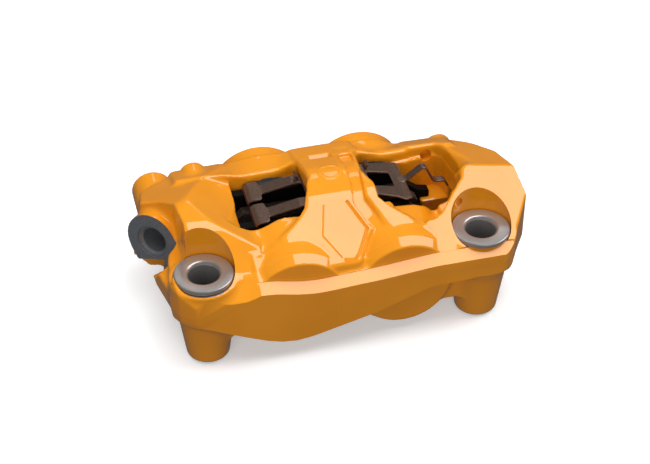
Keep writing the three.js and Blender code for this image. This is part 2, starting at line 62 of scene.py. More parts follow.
scene = bpy.context.scene
camera_data = bpy.data.cameras.new("camera")
camera_data.lens = CAMERA_LENS
camera_data.sensor_width = 36.0
camera_data.clip_start = 0.01
camera_data.clip_end = 20.0
camera = bpy.data.objects.new("camera", camera_data)
scene.collection.objects.link(camera)
scene.camera = camera
to_camera = Vector((
    math.sin(CAMERA_AZIMUTH) * math.cos(CAMERA_ELEVATION),
    -math.cos(CAMERA_AZIMUTH) * math.cos(CAMERA_ELEVATION),
    math.sin(CAMERA_ELEVATION),
))
camera.location = CAMERA_TARGET + to_camera * CAMERA_DISTANCE
camera.rotation_euler = to_camera.to_track_quat("Z", "Y").to_euler()

# ---- Places read from the frame ------------------------------------------------------------


def span(node):
    """A CAD node's lowest and highest corners in millimetres."""
    low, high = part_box(node)
    return np.array(low) / MM, np.array(high) / MM


def centre(node):
    low, high = span(node)
    return (low + high) / 2


BOLTS = [centre(f"mount_bush_{hand}") for hand in ("left", "right")]
BUSH_TOP = span("mount_bush_left")[1][2]
PISTONS = [centre(f"piston_front_{hand}") for hand in ("left", "right")]
PIN = centre("pad_pin")
PIN_SEAT = 17.4  # the y where the pin's head rests in its boss
PLUG = centre("gallery_plug")
BLEED = centre("bleed_screw")
SADDLE = span("pad_spring")[1][2] - 3.4  # the height of the spring's sheet under the bridge

HOSE_FACE = np.array((-63.6, -1.6, 31.4))
HOSE_HEADING = math.radians(227.5)
HOSE_PITCH = math.radians(6.0)
HOSE_AXIS = np.array((
    math.cos(HOSE_HEADING) * math.cos(HOSE_PITCH),
    math.sin(HOSE_HEADING) * math.cos(HOSE_PITCH),
    math.sin(HOSE_PITCH),
))

# ---- Distance fields for the casting -------------------------------------------------------

CASTING_LOW = (-73.5, -41.0, -1.5)
CASTING_HIGH = (72.5, 37.0, 52.5)
CASTING_PITCH = 0.48


def use_grid(low, high, pitch):
    """Sets the sample points that every field below is worked out on."""
    global X, Y, Z, LOW, PITCH
    LOW, PITCH = np.array(low, dtype=float), pitch
    counts = np.ceil((np.array(high) - LOW) / pitch).astype(int) + 1
    axes = [(LOW[i] + pitch * np.arange(counts[i])).astype(np.float32) for i in range(3)]
    X, Y, Z = axes[0][:, None, None], axes[1][None, :, None], axes[2][None, None, :]


use_grid(CASTING_LOW, CASTING_HIGH, CASTING_PITCH)


def union(a, b, k=0.0):
    """Joins two solids, with a fillet of about k where they meet."""
    if k <= 0:
        return np.minimum(a, b)
    h = np.maximum(k - np.abs(a - b), 0) / k
    return np.minimum(a, b) - h * h * k * 0.25


def common(a, b, k=0.0):
    return -union(-a, -b, k)


def without(a, b, k=0.0):
    return -union(-a, b, k)


def under(height, dx=0.0, dy=0.0):
    """Everything below the sloping plane z = height + dx * x + dy * y."""
    return ((Z - height - dx * X - dy * Y) / math.sqrt(1 + dx * dx + dy * dy)).astype(np.float32)


def inset(points, r):
    """A polygon's corners moved in by r, so that rounding it by r brings the sides back."""
    sharpest = 0.35
    pts = np.array(points, dtype=float)
    area = 0.5 * np.sum(pts[:, 0] * np.roll(pts[:, 1], -1) - np.roll(pts[:, 0], -1) * pts[:, 1])
    if area < 0:
        pts = pts[::-1]
    moved = []
    for i in range(len(pts)):
        a, b, c = pts[i - 1], pts[i], pts[(i + 1) % len(pts)]
        u = (b - a) / np.linalg.norm(b - a)
        v = (c - b) / np.linalg.norm(c - b)
        n1 = np.array((-u[1], u[0]))
        n2 = np.array((-v[1], v[0]))
        bisector = n1 + n2
        bisector /= np.linalg.norm(bisector)
        moved.append(b + bisector * (r / max(sharpest, float(bisector @ n1))))
    return moved


def polygon(points, u, v, r=0.0):
    """The signed distance to a polygon in the (u, v) plane, its corners rounded by r."""
    pts = inset(points, r) if r > 0 else [np.array(p, dtype=float) for p in points]
    best = None
    inside = None
    for i in range(len(pts)):
        a, b = pts[i - 1], pts[i]
        e = b - a
        pu, pv = u - a[0], v - a[1]
        t = np.clip((pu * e[0] + pv * e[1]) / (e @ e), 0, 1)
        d2 = (pu - e[0] * t) ** 2 + (pv - e[1] * t) ** 2
        crosses = ((a[1] <= v) & (b[1] > v)) | ((b[1] <= v) & (a[1] > v))
        slope = e[0] / e[1] if abs(e[1]) > 1e-9 else 0.0
        hit = crosses & (pu < slope * (v - a[1]))
        best = d2 if best is None else np.minimum(best, d2)
        inside = hit if inside is None else inside ^ hit
    d = np.sqrt(best)
    return (np.where(inside, -d, d) - r).astype(np.float32)


def slab(coordinate, low, high):
    return np.maximum(low - coordinate, coordinate - high)


def prism_z(points, low, high, r=0.0, edge=0.0):
    return common(polygon(points, X, Y, r), slab(Z, low, high), edge)


def prism_y(points, low, high, r=0.0, edge=0.0):
    return common(polygon(points, X, Z, r), slab(Y, low, high), edge)


def box(x, y, z, edge=0.0):
    return common(common(slab(X, *x), slab(Y, *y), edge), slab(Z, *z), edge)


def turned_y(profile, x, z, r):
    """A solid of revolution about a line along Y, from a (radius, y) polygon."""
    radius = np.sqrt((X - x) ** 2 + (Z - z) ** 2)
    return polygon(profile, radius, Y, r)


def turned_z(profile, x, y, r):
    """A solid of revolution about a line along Z, from a (radius, z) polygon."""
    radius = np.sqrt((X - x) ** 2 + (Y - y) ** 2)
    return polygon(profile, radius, Z, r)


def rod_y(r, low, high, x, z, edge):
    radius = np.sqrt((X - x) ** 2 + (Z - z) ** 2) - r
    return common(radius, slab(Y, low, high), edge)


def ribbon_xz(points, thickness):
    """A bent sheet that runs along y, from the points of its middle line in (x, z)."""
    best = None
    for a, b in zip(points[:-1], points[1:]):
        a, b = np.array(a, dtype=float), np.array(b, dtype=float)
        e = b - a
        pu, pv = X - a[0], Z - a[1]
        t = np.clip((pu * e[0] + pv * e[1]) / (e @ e), 0, 1)
        d = np.sqrt((pu - e[0] * t) ** 2 + (pv - e[1] * t) ** 2)
        best = d if best is None else np.minimum(best, d)
    return (best - thickness / 2).astype(np.float32)


def along_x(table):
    """A value that varies along the caliper, smoothly between the given (x, value) pairs."""
    reach = 3.0
    xs, values = zip(*table)
    fine = np.interp(X[:, 0, 0], xs, values)
    width = max(1, int(reach / PITCH))
    kernel = np.ones(2 * width + 1) / (2 * width + 1)
    padded = np.pad(fine, 2 * width, mode="edge")
    smooth = np.convolve(np.convolve(padded, kernel, "same"), kernel, "same")[2 * width:-2 * width]
    return smooth.astype(np.float32)[:, None, None]


# ---- The casting's own planes and sizes ----------------------------------------------------

FRONT = -39.5
STOCK = 0.8  # left on the outer face, for the cutter that faces it
ABOVE = 60.0  # a height over the whole casting

# The sloping plane that most of the outer side lies in, and the steeper facet at the hose end.
FACE_HEIGHT = 56.3
FACE_SLOPE = 0.63
FACE_COSINE = 0.846  # turns a depth below that plane, measured upright, into a distance from it
PLANE_F = under(FACE_HEIGHT, dy=FACE_SLOPE)
SLOPE_G = under(60.25, dx=-0.0216, dy=0.806)

# The strip along the outer wall: how far it lies below the plane, and where it ends.
STRIP_DIP = [(-34, 0), (-28, 0.2), (-21, 1.9), (-15, 3.0), (-9, 3.1), (0, 2.5), (12, 1.8), (24, 0.6), (30, 0),
             (60, 0)]
STRIP_BACK = -35.5

OUTER_PLAN = [(-62, -28), (-59.6, -35), (-55, FRONT + 0.6), (-50, FRONT - STOCK), (53.0, FRONT - STOCK),
              (57.0, -38.6), (60.2, -35.2), (62, -32), (62, -20), (-62, -20)]

CAVITY_HALF_WIDTH = 13
WINDOW_FLOOR = 38.4

# Radii and ends of the holes that are cut in the casting. A port has a name, a place, a radius, a start
# and a number of segments.
BUSH_SEAT = BUSH_TOP - 1.9
BUSH_END = BUSH_TOP - 11.9
BUSH_R, BUSH_HOLE_R, BUSH_RECESS_R = 5.4, 7.2, 10.8
BORE_R, BORE_END = 15.3, 29
DUST_GROOVE_R, SEAL_GROOVE_R = BORE_R + 2.2, BORE_R + 2.7
HOSE_PORT_DEPTH = 13
PORTS = [("cut_bleed", BLEED, 3.6, 14, 48), ("cut_plug", PLUG, 5.3, 24, 64)]


def panel(y):
    """The height of the sloping plane at y."""
    return FACE_HEIGHT + FACE_SLOPE * y


def hose_axes():
    """Directions across, up and out of the hose port's face."""
    u = np.cross((0, 0, 1), HOSE_AXIS)
    u /= np.linalg.norm(u)
    return u, np.cross(HOSE_AXIS, u), HOSE_AXIS


def hose_frame():
    """Coordinates across and up the hose port's face, and the distance out of it."""
    p = (X - HOSE_FACE[0], Y - HOSE_FACE[1], Z - HOSE_FACE[2])
    return [sum(c * axis[i] for i, c in enumerate(p)) for axis in hose_axes()]


def outer_wall():
    """The outer wall, with its wavy lower edge, and the shelf behind the strip along its top."""
    outline = [(-61, 22.5), (-57.4, 21.5), (-47, 15.3), (-36.5, 10.3), (-31, 7.9), (-26, 6.3), (-20, 5.6),
               (-14, 6.4), (-8, 7.9), (9, 12.4), (29, 20.0), (43.6, 20.6), (55.7, 25.6), (62, 28), (62, 40),
               (-61, 40)]
    dip = along_x(STRIP_DIP)
    # Metal that strip_cutter trims off, so that the strip's edges come out crisp.
    fade = 0.8
    spare = along_x([(-35, 0), (-31, 0.5), (46, 0.5), (52, 0)]) * np.clip((STRIP_BACK - Y) / fade, 0, 1)
    wall = prism_y(outline, FRONT - STOCK, -32.5, r=1.2, edge=0.8)
    wall = common(wall, polygon(OUTER_PLAN, X, Y, 1.0), 0.8)
    lean = 0.62
    bevel = common(slab(Y, FRONT - 5, -30), polygon(outline, X, Z, 1.2) + lean * (FRONT + 3.2 - Y))
    wall = common(wall, bevel, 1.0)
    wall = common(wall, PLANE_F + (dip - spare) * FACE_COSINE, 0.3)
    # At the hose end the strip turns into the steeper facet.
    turn = np.clip((X + 37.5) / 7.0, 0, 1)
    wall = common(wall, SLOPE_G * (1 - turn) + (PLANE_F - 0.5) * turn, 0.3)
    shelf = box((-33, 60), (-37, -27), (22, ABOVE))
    shelf = common(shelf, PLANE_F + dip * FACE_COSINE, 0.6)
    shelf = common(shelf, polygon(OUTER_PLAN, X, Y, 1.0), 0.6)
    return union(wall, shelf, 0.6)


def bridge_top():
    return common(common(PLANE_F, under(50.0, dy=0.12), 1.0), under(50.2, dy=-0.30), 2.0)


def bridge():
    """The bridge and the sloping panel in front of it, with a valley and a trough on their right."""
    plan = [(-11.2, -14.7), (-8.4, -7), (-7.6, 0), (-7.6, 25.2), (15.8, 25.2), (15.8, -14.8), (25.4, -24.8),
            (23, -34.6), (-9, -34.6), (-20.9, -24.2)]
    valley_plan = [(8.4, 19), (13.2, 19), (12.4, 0), (11.0, -14.2), (16.8, -25), (24, -26), (24, -37),
                   (3.9, -37), (4.0, -35.2), (6.9, -30.6), (11.0, -24.6), (6.6, -15.6), (7.6, -8), (8.3, 0)]
    trough_plan = [(12.4, -25.6), (7.4, -30.6), (4.4, -35.8), (4.4, -38), (24, -38), (24, -26)]
    roof = bridge_top()
    solid = common(prism_z(plan, 24, ABOVE, r=0.8), roof, 1.2)
    for outline, r, depth in ((valley_plan, 0.4, 1.7), (trough_plan, 0.6, 5.0)):
        solid = without(solid, common(polygon(outline, X, Y, r), -(roof + depth)), 1.0)
    return solid


def hose_end():
    """An upper block with sloping facets, and a lower web and ledge that join the column to it."""
    plan = [(-33, FRONT), (-29.5, -27), (-28.5, -12), (-30, 10), (-34, 25.6), (-50, 25.6), (-64.6, 17.5),
            (-66, 8), (-60, 3), (-55.8, -3.5), (-54.2, -14.5), (-54.2, -24), (-60, -28), (-61.6, -30),
            (-59.6, -35), (-55, FRONT + 0.6), (-50, FRONT)]
    rear_facet = under(50.9, dy=-0.43)
    end_facet = under(63.0, dx=0.28, dy=-0.33)
    level_facet = under(48.6, dx=-0.04, dy=0.165)
    # The facet that falls towards the window is folded along its middle.
    window_facet = union(under(21.6, dx=-0.55, dy=-0.12), under(21.9, dx=-0.55, dy=0.05), 1.0)
    roof = common(SLOPE_G, rear_facet, 4.0)
    roof = common(roof, end_facet, 3.0)
    roof = common(roof, level_facet, 1.5)
    roof = common(roof, window_facet, 0.6)
    block = common(prism_z(plan, 20.5, ABOVE, r=1.2), roof, 1.0)
    web_plan = [(-66.0, 10), (-65.4, -1), (-65.0, -5), (-64.6, -11), (-63.6, -16), (-61.6, -26), (-60.8, -31),
                (-48, -31), (-48, 10)]
    ledge_plan = [(-60.5, 3), (-57.5, -2.5), (-60.4, -15), (-61.6, -24), (-61.6, -30), (-48, -30), (-48, 3)]
    solid = union(block, prism_z(web_plan, 18.5, 27, r=3.2, edge=1.5), 3.0)
    return union(solid, prism_z(ledge_plan, 22, 33.6, r=2.0, edge=1.5), 1.6)


def far_end():
    plan = [(31, FRONT - STOCK), (53.0, FRONT - STOCK), (57.0, -38.6), (60.2, -35.2), (69.0, -21.6),
            (67.2, -12), (66.4, 5), (61, 15), (50.5, 24.8), (36, 25.4), (36, 8), (44, 0), (44, -15),
            (39.4, -20.2), (34.3, -24.4), (29.8, -25.6)]
    end_facet = under(53.95, dx=-0.139, dy=-0.33)
    rear_facet = under(50.0, dy=-0.5)
    roof = common(common(PLANE_F, end_facet, 0.8), rear_facet, 1.5)
    return common(prism_z(plan, 23.5, ABOVE, r=1.2), roof, 0.8)


def wheel_side_wall():
    """The wheel-side wall, with the beams behind the windows."""
    outline = [(-52, 12), (-46, 6), (46, 6), (52, 12), (52, 52), (-52, 52)]
    # The top is a plane that falls to the rear by slope, from height at the disc, but never above cap.
    height = along_x([(-60, 50.9), (-36, 50.9), (-27, 44.6), (-13, 44.4), (-7, 50.0), (15, 50.2), (22, 50.6),
                      (50, 50.0)])
    slope = along_x([(-60, 0.43), (-36, 0.43), (-27, 0.14), (-13, 0.14), (-7, 0.3), (15, 0.3), (22, 0.5),
                     (50, 0.5)])
    cap = along_x([(-60, ABOVE), (16, ABOVE), (21, 42.6), (38, 42.0), (44, 43.5), (50, 44)])
    stretch = 1.044
    wall = prism_y(outline, 13, 26, r=2.0, edge=1.5)
    wall = common(wall, (Z - height + slope * Y) / stretch, 1.2)
    return common(wall, Z - cap, 1.2)


def add_pad_blocks(solid):
    """Blocks at both ends of the cavity, which carry the pads."""
    for x in ((-55, -38.8), (38.8, 55)):
        solid = union(solid, box(x, (-24, -5.5), (9, 36), 1.0), 1.5)
        solid = union(solid, box(x, (5.5, 23), (0, 36), 1.0), 1.5)
    return solid


def add_cylinders(solid):
    """Cylinders: a flat end and a bevel in front, and a shoulder behind, with blocks that join them."""
    r = 20.4
    for piston in PISTONS:
        px, pz = piston[0], piston[2]
        front = [(-20, -12.8), (r, -12.8), (r, -15), (19.0, -32), (16.9, -35.4), (-20, -35.4)]
        cylinder = turned_y(front, px, pz, r=0.4)
        # The fillet is small at the flat end and wide further back.
        behind = np.clip((Y + 28) / 5, 0, 1)
        solid = union(solid, cylinder, 0.5) * (1 - behind) + union(solid, cylinder, 3.6) * behind
        back = [(-20, 12.8), (r, 12.8), (r, 25), (18.2, 27.2), (18.0, 33.4), (17.0, 34.4), (-20, 34.4)]
        solid = union(solid, turned_y(back, px, pz, r=0.5), 1.4)
    solid = union(solid, box((-46, 46), (-33, -13), (9, 34), 1.0), 1.5)
    return union(solid, box((-46, 46), (13, 24), (9, 35), 1.0), 1.5)


def add_columns(solid):
    """The two columns that stand on the fork and hold the bolts."""
    profile = [(-20, 0), (6.8, 0), (7.7, 0.9), (8.0, 3), (9.9, 18), (11.6, 25), (11.6, BUSH_SEAT),
               (-20, BUSH_SEAT)]
    for bolt in BOLTS:
        solid = union(solid, turned_z(profile, bolt[0], bolt[1], r=0.5), 2.4)
    return solid


def add_bosses(solid):
    """Round bosses on the wheel side: two for the pin holes, one for the plug, one for the bleeder."""
    solid = union(solid, rod_y(5.0, 10, 24.2, PIN[0], PIN[2] - 1.2, 0.8), 1.0)
    solid = union(solid, rod_y(5.2, 10, 27.0, 51, 33.1, 0.8), 1.2)
    solid = union(solid, rod_y(7.5, 4, 30, PLUG[0], PLUG[2], 0.8), 1.6)
    solid = union(solid, rod_y(6.2, 6, 26, BLEED[0], BLEED[2], 0.6), 2.0)
    return union(solid, box((BLEED[0] - 6, BLEED[0] + 6), (8, 20), (BLEED[2], 24), 1.0), 2.0)


def add_hose_boss(solid):
    """The hose boss: a circle with a lobe below it, and a chin set back from its face."""
    depth = -15
    u, w, out = hose_frame()
    circle = np.sqrt((u + 0.4) ** 2 + (w - 0.5) ** 2) - 10.1
    lobe = polygon([(-9, -5), (-6.2, -9.6), (-2.6, -11.6), (1.9, -11.6), (5, -9.4), (9.3, -3.4), (8.6, 2),
                    (0, 4)], u, w, 0.6)
    chin = polygon([(-9.8, -3), (-9.2, -10.4), (-5.6, -16.4), (3.0, -17.2), (8.4, -13), (9.6, -4), (0, 2)],
                   u, w, 1.2)
    boss = common(union(circle, lobe, 0.8), slab(out, depth, 0.8))
    boss = union(boss, common(chin, slab(out, depth, -1.3), 0.8), 0.4)
    return union(solid, boss, 2.0)


def casting():
    solid = union(outer_wall(), hose_end(), 1.2)
    solid = union(solid, far_end(), 1.0)
    solid = union(solid, wheel_side_wall(), 2.5)
    solid = union(solid, bridge(), 1.0)
    # Fillets between surfaces that lie in the sloping plane would raise it, so it is faced again. The
    # half towards the hose end is left out, because the steeper facet there rises above the plane.
    faced_from = -5
    solid = common(solid, union(PLANE_F, X - faced_from))
    for add in (add_pad_blocks, add_cylinders, add_columns, add_bosses, add_hose_boss):
        solid = add(solid)
    return solid


def relief(solid):
    """The small recess and the plain ring on the bridge."""
    recess = common(box((-2.4, 5.6), (12.4, 17.0), (40, ABOVE)), -under(35.9, dy=0.63))
    solid = without(solid, recess, 0.5)
    ring = np.abs(np.sqrt((X - 1.7) ** 2 + (Y + 0.3) ** 2) - 4.0) - 0.3
    return union(solid, common(ring, bridge_top() - 0.25), 0.3)


def window(outline, flare):
    """An upright opening whose walls lean out near the top."""
    lean_start = 43.8
    return common(polygon(outline, X, Y, 1.6) - flare * np.maximum(Z - lean_start, 0), WINDOW_FLOOR - Z)


def hollows(solid):
    """Windows, pad cavity, slots for the plates' ears and the disc's slot."""
    left = [(-37.9, -10.6), (-35.0, -13.4), (-30.4, -14.2), (-24, -13.9), (-18.6, -12.2), (-11, -6.2),
            (-8.0, -1), (-8.0, 15), (-16.7, 13.4), (-24.5, 13.2), (-37.2, 2.6)]
    right = [(15.4, 1), (17, -4.7), (20.8, -10.4), (25.3, -12.8), (30.5, -13.3), (37, -13.0), (43, -10.6),
             (49.2, -3.6), (49.6, 0), (48.2, 12), (46, 15), (36, 14.6), (28, 13.6), (20, 13.6), (15.6, 15.6)]

    # A scoop leads from the sloping plane down to the front of the right-hand window.
    scoop_plan = [(22, -17), (29.7, -25), (35.5, -23.3), (41.5, -17.2), (47.2, -12.4), (46, -7), (20, -7)]
    scoop = common(polygon(scoop_plan, X, Y, 2.5), -under(37.1, dy=-0.2))
    solid = without(solid, scoop, 1.6)

    # A bank slopes from the left-hand window's rim down to the pads.
    bank_plan = [(-33.4, -40), (-33.5, -8.5), (-33.3, -2.4), (-31.8, 4.3), (-29.4, 9.5), (-27.0, 14.2),
                 (-24, 30), (20, 30), (20, -40)]
    lean, lip, stretch = 0.97, 39.9, 1.39
    bank = (polygon(bank_plan, X, Y, 1.5) - lean * np.maximum(Z - lip, 0)) / stretch
    solid = without(solid, common(window(left, 0.25), bank, 0.3), 1.5)
    solid = without(solid, window(right, 0.55), 2.0)

    # A pocket below the right-hand window takes the spring's tail.
    pocket = [(37, -13), (43, -10.6), (49.2, -3.6), (49.6, 0), (48.2, 12), (46, 14.4), (37, 13)]
    solid = without(solid, prism_z(pocket, 24.3, ABOVE, r=1.5), 0.6)

    # The pad cavity is shorter above the plates, where it meets the bank.
    width = (-CAVITY_HALF_WIDTH, CAVITY_HALF_WIDTH)
    solid = without(solid, box((-38.8, 38.8), width, (-6, 36.2)), 0.3)
    solid = without(solid, box((-38.5, 38.8), width, (36, 39)))
    solid = without(solid, box((-32.6, 38.8), width, (38.8, 43.6)))

    # Slots for the plates' ears, round the pin.
    ear_slot = [(-34.2, 36.6), (-44, 37.1), (-46.4, 38.3), (-47.4, 40.7), (-46.4, 43.1), (-44, 44.1),
                (-41.6, 43.4), (-37.8, 41.2), (-34.2, 39.2)]
    for y in ((-12.1, -4.3), (4.3, 12.1)):
        solid = without(solid, prism_y(ear_slot, *y))

    # The slot that the disc's rim sweeps.
    slot_r, slot_top, slot_half_width = 163, 37, 5.5
    disc = np.sqrt(X ** 2 + (Z - (slot_top - slot_r)) ** 2) - slot_r
    return without(solid, common(disc, slab(Y, -slot_half_width, slot_half_width)), 0.5)


def mesh_from_field(field, name):
    grid = openvdb.FloatGrid()
    grid.copyFromArray(np.ascontiguousarray(field.astype(np.float32)))
    points, triangles, quads = grid.convertToPolygons(0.0, 0.0)
    points = (points * PITCH + LOW) * MM
    mesh = bpy.data.meshes.new(name)
    faces = [tuple(int(i) for i in q) for q in quads] + [tuple(int(i) for i in t) for t in triangles]
    mesh.from_pydata([tuple(p) for p in points], [], faces)
    mesh.validate()
    obj = bpy.data.objects.new(name, mesh)
    scene.collection.objects.link(obj)
    return obj


def face_outward(obj):
    bm = bmesh.new()
    bm.from_mesh(obj.data)
    bmesh.ops.recalc_face_normals(bm, faces=bm.faces)
    if bm.calc_volume(signed=True) < 0:
        bmesh.ops.reverse_faces(bm, faces=bm.faces)
    bm.to_mesh(obj.data)
    bm.free()


# ---- Crisp turned pieces and boolean cuts --------------------------------------------------


def lathe(profile, segments, closed=True):
    """A bmesh of revolution about Z from (radius, z) pairs, welded on the axis."""
    bm = bmesh.new()
    rings = []
    for r, z in profile:
        if r < 1e-6:
            rings.append([bm.verts.new((0, 0, z))])
        else:
            turns = [2 * math.pi * i / segments for i in range(segments)]
            rings.append([bm.verts.new((r * math.cos(a), r * math.sin(a), z)) for a in turns])
    pairs = list(zip(rings, rings[1:] + rings[:1])) if closed else list(zip(rings[:-1], rings[1:]))
    for a, b in pairs:
        if len(a) == 1 and len(b) == 1:
            continue
        for i in range(segments):
            j = (i + 1) % segments
            if len(a) == 1:
                bm.faces.new((a[0], b[j], b[i]))
            elif len(b) == 1:
                bm.faces.new((a[i], a[j], b[0]))
            else:
                bm.faces.new((a[i], a[j], b[j], b[i]))
    bmesh.ops.recalc_face_normals(bm, faces=bm.faces)
    return bm


def place(bm, name, origin=(0, 0, 0), axis=(0, 0, 1)):
    """Puts a bmesh that was drawn in millimetres about Z at its place, and makes an object of it."""
    turn = Vector((0, 0, 1)).rotation_difference(Vector(axis)).to_matrix().to_4x4()
    bmesh.ops.transform(bm, matrix=turn, verts=bm.verts)
    bmesh.ops.transform(bm, matrix=Matrix.Translation(Vector(origin)), verts=bm.verts)
    bmesh.ops.transform(bm, matrix=Matrix.Scale(MM, 4), verts=bm.verts)
    mesh = bpy.data.meshes.new(name)
    bm.to_mesh(mesh)
    bm.free()
    obj = bpy.data.objects.new(name, mesh)
    scene.collection.objects.link(obj)
    return obj


def turned(profile, segments, name, origin, axis=(0, 1, 0)):
    """A solid turned piece, from a profile that starts and ends on the axis."""
    return place(lathe(profile, segments, closed=False), name, origin, axis)


def rod(r, low, high):
    return [(0, low), (r, low), (r, high), (0, high)]


def cut_with(target, cutters):
    bpy.context.view_layer.update()
    for cutter in cutters:
        modifier = target.modifiers.new("cut", "BOOLEAN")
        modifier.operation = "DIFFERENCE"
        modifier.solver = "MANIFOLD"
        modifier.object = cutter
        bake_modifiers(target)
        bpy.data.objects.remove(cutter)


def bake_modifiers(obj):
    graph = bpy.context.evaluated_depsgraph_get()
    graph.update()
    baked = bpy.data.meshes.new_from_object(obj.evaluated_get(graph), depsgraph=graph)
    old = obj.data
    obj.modifiers.clear()
    obj.data = baked
    bpy.data.meshes.remove(old)


def shade(obj, degrees=32):
    mesh = obj.data
    mesh.polygons.foreach_set("use_smooth", [True] * len(mesh.polygons))
    mesh.set_sharp_from_angle(angle=math.radians(degrees))


def rectangle(x, y):
    return [(x[0], y[0]), (x[1], y[0]), (x[1], y[1]), (x[0], y[1])]


def spring_field():
    """Sheet-steel spring: T-ended arms left of the bridge, a frame and a bent tail right of it."""
    low, high = span("pad_spring")
    margin = 1.5
    use_grid(low - margin, high + margin, 0.2)
    toe, thick = 40.2, 0.8
    left_edge, right_edge = -8.0, 16.0
    all_heights = (30, 50)
    middle = [(-27.9, toe - 1.5), (-27.5, toe - 0.6), (-26.7, toe - 0.1), (-25.8, toe), (-22, toe + 0.2),
              (left_edge - 3, SADDLE), (right_edge + 2, SADDLE), (27, toe + 0.3), (29.2, toe),
              (30.0, toe - 0.7)]
    sheet = ribbon_xz(middle, thick)

    # The plan: a plate under the bridge, two arms with crossbars, and a frame round an opening.
    plan = box((left_edge - 2, right_edge), (-9, 9), all_heights, 0.4)
    for arm, crossbar in (((-9.2, -4.2), (-12.0, -1.0)), ((4.2, 9.2), (1.0, 12.0))):
        plan = union(plan, box((-24, left_edge), arm, all_heights))
        plan = union(plan, polygon(rectangle((-28.4, -22.6), crossbar), X, Y, 1.3), 1.2)
    frame_plan = [(right_edge - 1, -9), (24.2, -10.4), (27.4, -12), (30.2, -10.4), (30.2, 10.2),
                  (27.4, 10.8), (right_edge - 1, 9)]
    plan = union(plan, polygon(frame_plan, X, Y, 0.9))
    for opening in ((right_edge + 0.6, 25), (left_edge - 3, left_edge + 0.5)):
        plan = without(plan, polygon(rectangle(opening, (-4.2, 4.2)), X, Y, 0.7))
    solid = common(sheet, plan, 0.25)

    tail = ribbon_xz([(28, toe), (30.6, toe + 0.6), (32, toe + 1.6), (35.2, 44.3), (36.2, 44.9), (37.2, 44.9),
                      (38.0, 44.2), (40.2, 39.4), (41.0, 38.4), (42.0, 37.9), (44.2, 37.9), (45.3, 37.3),
                      (46.4, 35.2)], thick)
    solid = union(solid, common(tail, slab(Y, -1.5, 1.5), 0.25), 0.5)
    for x, lean in ((left_edge - 0.75, -1), (right_edge + 0.75, 1)):
        rise = [(x, SADDLE), (x, 43.8), (x + 0.25 * lean, 44.6), (x + 0.8 * lean, 45.2)]
        lip = ribbon_xz(rise, thick * 0.85)
        solid = union(solid, common(lip, slab(Y, 5, 8.6), 0.25), 0.3)
    return solid


def prism_mesh(outline, low, high):
    """A bmesh prism from a plan outline, between two heights."""
    bm = bmesh.new()
    rings = []
    for height in (low, high):
        rings.append([bm.verts.new((x, y, height)) for x, y in outline])
    count = len(outline)
    bm.faces.new(rings[0][::-1])
    bm.faces.new(rings[1])
    for i in range(count):
        j = (i + 1) % count
        bm.faces.new((rings[0][i], rings[0][j], rings[1][j], rings[1][i]))
    return bm


def skin(bm, sections):
    """Joins sections that have equal numbers of corners, and closes both ends."""
    for a, b in zip(sections[:-1], sections[1:]):
        for i in range(len(a)):
            j = (i + 1) % len(a)
            bm.faces.new((a[i], a[j], b[j], b[i]))
    bm.faces.new(sections[0])
    bm.faces.new(sections[-1][::-1])
    return bm


def strip_outline(points, width):
    """The outline of a line of the given width, mitred at its bends."""
    pts = [np.array(p, dtype=float) for p in points]
    steps = [(b - a) / np.linalg.norm(b - a) for a, b in zip(pts[:-1], pts[1:])]
    sides = []
    for i in range(len(pts)):
        a, b = steps[max(i - 1, 0)], steps[min(i, len(steps) - 1)]
        normal = np.array((-a[1] - b[1], a[0] + b[0]))
        normal /= np.linalg.norm(normal)
        sides.append(normal * width / 2 / max(0.5, float(normal @ np.array((-a[1], a[0])))))
    return [p + q for p, q in zip(pts, sides)] + [p - q for p, q in zip(pts, sides)][::-1]


def hose_face_cutter():
    """Faces the hose boss off, along its own outline: a circle with a lobe below."""
    r = 10.9
    turns = [math.radians(a) for a in np.linspace(-28, 213, 60)]
    outline = [(-0.4 + r * math.cos(a), 0.5 + r * math.sin(a)) for a in turns]
    outline += [(-7.2, -10.0), (-3.0, -12.4), (2.2, -12.4), (5.9, -10.0)]
    bm = prism_mesh(outline, 0, 8.5)
    turn = Matrix([[axis[i] for axis in hose_axes()] for i in range(3)]).to_4x4()
    bmesh.ops.transform(bm, matrix=turn, verts=bm.verts)
    return place(bm, "cut_face", HOSE_FACE)


def scribe_mesh(points, width, depth):
    """A V-shaped cutter along a line on the sloping panel."""
    bm = bmesh.new()
    over = 1.5
    wide = strip_outline(points, width * (1 + over / depth))
    count = len(points)
    sections = []
    for i in range(count):
        (ax, ay), (bx, by), (x, y) = wide[i], wide[2 * count - 1 - i], points[i]
        sections.append([bm.verts.new((x, y, panel(y) - depth)), bm.verts.new((ax, ay, panel(ay) + over)),
                         bm.verts.new((bx, by, panel(by) + over))])
    return skin(bm, sections)


def strip_cutter():
    """Trims the strip along the top of the outer wall, which dips in front of the first cylinder."""
    trim = 0.06
    smoothed = 9
    start, end, step = -34.6, 60.1, 0.8
    front = FRONT - 4
    xs = np.arange(start, end, step)
    padded = np.pad(np.interp(xs, *zip(*STRIP_DIP)), smoothed // 2, mode="edge")
    dips = trim + np.convolve(padded, np.ones(smoothed) / smoothed, "valid")
    bm = bmesh.new()
    sections = []
    for x, dip in zip(xs, dips):
        corners = [(front, panel(front) - dip), (STRIP_BACK, panel(STRIP_BACK) - dip), (STRIP_BACK, ABOVE),
                   (front, ABOVE)]
        sections.append([bm.verts.new((x, y, z)) for y, z in corners])
    return skin(bm, sections)


